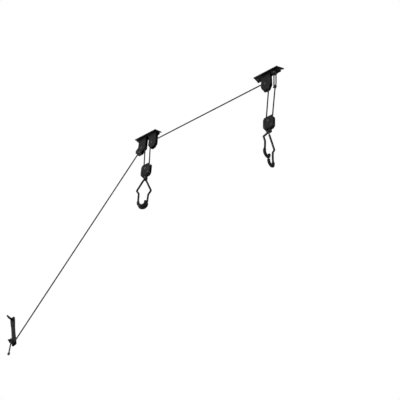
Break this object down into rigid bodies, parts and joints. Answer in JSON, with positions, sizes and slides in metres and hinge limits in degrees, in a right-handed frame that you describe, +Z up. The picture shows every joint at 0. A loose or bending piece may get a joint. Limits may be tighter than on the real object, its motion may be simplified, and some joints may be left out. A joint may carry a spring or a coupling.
{
  "type": "ceiling pulley hoist",
  "caption": "Ceiling hoist with two stamped pulley brackets, a cam rope lock, two hook blocks with paired rubber-sleeved hooks and a wall cleat for the rope.",
  "frame": {"origin": "middle of the front (lock) bracket's top face, which lies against the ceiling", "axes": "+Z up, +X from the front bracket to the rear bracket, +Y towards the wall that carries the cleat"},
  "size_m": [1.5503, 0.1034, 1.0107],
  "materials": {
    "black_paint": "satin powder coat",
    "zinc_steel": "black oxide",
    "cam_steel": "sintered",
    "nylon": "moulded nylon",
    "rod_steel": "black oxide",
    "vinyl": "dipped vinyl",
    "foam_rubber": "matte rubber",
    "cast_black": "painted casting",
    "rope": "braided polyester"
  },
  "bodies": {
    "bracket_set": {"cleat": "cast_black", "front_plate": "black_paint", "front_pulley_yoke": "black_paint", "front_sheave_axle": "zinc_steel", "lock_cam_pin": "zinc_steel", "lock_guide": "zinc_steel", "lock_sheave_axle": "zinc_steel", "lock_yoke": "black_paint", "rear_anchor_clevis": "black_paint", "rear_anchor_pin": "zinc_steel", "rear_plate": "black_paint", "rear_pulley_yoke": "black_paint", "rear_sheave_axle": "zinc_steel", "rope_anchor_knot": "rope", "rope_anchor_loop": "rope", "rope_belay": "rope", "rope_ceiling_run": "rope", "rope_end_knot": "rope", "rope_front_fall_inner": "rope", "rope_front_fall_outer": "rope", "rope_rear_fall_inner": "rope", "rope_rear_fall_outer": "rope", "rope_tail": "rope", "yoke_rivets": "zinc_steel"},
    "front_block": {"front_block_yoke": "black_paint", "front_block_axle": "zinc_steel", "front_block_spacers": "zinc_steel", "rope_front_bight": "rope"},
    "front_block_wheel": {"front_block_sheave": "nylon"},
    "front_swivel": {"front_swivel_rivet": "zinc_steel", "front_swivel_clevis": "black_paint", "front_hook_pin": "zinc_steel"},
    "rear_block": {"rear_block_yoke": "black_paint", "rear_block_axle": "zinc_steel", "rear_block_spacers": "zinc_steel", "rope_rear_bight": "rope"},
    "rear_block_wheel": {"rear_block_sheave": "nylon"},
    "rear_swivel": {"rear_swivel_rivet": "zinc_steel", "rear_swivel_clevis": "black_paint", "rear_hook_pin": "zinc_steel"},
    "front_wheel": {"front_sheave": "nylon"},
    "rear_wheel": {"rear_sheave": "nylon"},
    "lock_wheel": {"lock_sheave": "nylon"},
    "lock_cam": {"lock_cam": "cam_steel"},
    "front_hook_a": {"front_hook_a_rod": "rod_steel", "front_hook_a_coating": "vinyl", "front_hook_a_sleeve": "foam_rubber"},
    "front_hook_b": {"front_hook_b_rod": "rod_steel", "front_hook_b_coating": "vinyl", "front_hook_b_sleeve": "foam_rubber"},
    "rear_hook_a": {"rear_hook_a_rod": "rod_steel", "rear_hook_a_coating": "vinyl", "rear_hook_a_sleeve": "foam_rubber"},
    "rear_hook_b": {"rear_hook_b_rod": "rod_steel", "rear_hook_b_coating": "vinyl", "rear_hook_b_sleeve": "foam_rubber"}
  },
  "joints": [
    {"name": "front_lift", "type": "slide", "parent": "bracket_set", "child": "front_block", "axis": [0, 0, -1], "range_m": [-0.05, 1.2], "deforming": ["rope_front_fall_outer", "rope_front_fall_inner"]},
    {"name": "rear_lift", "type": "slide", "parent": "bracket_set", "child": "rear_block", "axis": [0, 0, -1], "range_m": [-0.05, 1.2], "deforming": ["rope_rear_fall_outer", "rope_rear_fall_inner"]},
    {"name": "front_wheel_spin", "type": "hinge", "parent": "bracket_set", "child": "front_wheel", "pos_m": [0.042, 0, -0.07], "axis": [0, 1, 0], "continuous": true},
    {"name": "rear_wheel_spin", "type": "hinge", "parent": "bracket_set", "child": "rear_wheel", "pos_m": [0.694, 0, -0.07], "axis": [0, 1, 0], "continuous": true},
    {"name": "lock_wheel_spin", "type": "hinge", "parent": "bracket_set", "child": "lock_wheel", "pos_m": [-0.022, 0, -0.07], "axis": [0, 1, 0], "continuous": true},
    {"name": "front_block_wheel_spin", "type": "hinge", "parent": "front_block", "child": "front_block_wheel", "pos_m": [0.019, 0, -0.23], "axis": [0, 1, 0], "continuous": true},
    {"name": "rear_block_wheel_spin", "type": "hinge", "parent": "rear_block", "child": "rear_block_wheel", "pos_m": [0.711, 0, -0.318], "axis": [0, 1, 0], "continuous": true},
    {"name": "lock_cam_tilt", "type": "hinge", "parent": "bracket_set", "child": "lock_cam", "pos_m": [-0.03152, 0, -0.09739], "axis": [0, -1, 0], "range_deg": [0, 50]},
    {"name": "front_swivel_turn", "type": "hinge", "parent": "front_block", "child": "front_swivel", "pos_m": [0.019, 0, -0.274], "axis": [0, 0, 1], "continuous": true},
    {"name": "front_hook_a_swing", "type": "hinge", "parent": "front_swivel", "child": "front_hook_a", "pos_m": [0.019, 0, -0.29], "axis": [-0.4067, 0.9135, 0], "range_deg": [-5, 55]},
    {"name": "front_hook_b_swing", "type": "hinge", "parent": "front_swivel", "child": "front_hook_b", "pos_m": [0.019, 0, -0.29], "axis": [0.4067, -0.9135, 0], "range_deg": [-5, 55]},
    {"name": "rear_swivel_turn", "type": "hinge", "parent": "rear_block", "child": "rear_swivel", "pos_m": [0.711, 0, -0.362], "axis": [0, 0, 1], "continuous": true},
    {"name": "rear_hook_a_swing", "type": "hinge", "parent": "rear_swivel", "child": "rear_hook_a", "pos_m": [0.711, 0, -0.378], "axis": [-1, 0, 0], "range_deg": [-8, 50]},
    {"name": "rear_hook_b_swing", "type": "hinge", "parent": "rear_swivel", "child": "rear_hook_b", "pos_m": [0.711, 0, -0.378], "axis": [1, 0, 0], "range_deg": [-8, 50]}
  ],
  "couplings": [
    {"joint": "rear_lift", "follows": "front_lift", "ratio": 1},
    {"joint": "front_wheel_spin", "follows": "front_lift", "rad_per_m": 125},
    {"joint": "rear_wheel_spin", "follows": "front_lift", "rad_per_m": 125},
    {"joint": "lock_wheel_spin", "follows": "front_lift", "rad_per_m": 250},
    {"joint": "front_block_wheel_spin", "follows": "front_lift", "rad_per_m": -187.5},
    {"joint": "rear_block_wheel_spin", "follows": "front_lift", "rad_per_m": -62.5}
  ]
}
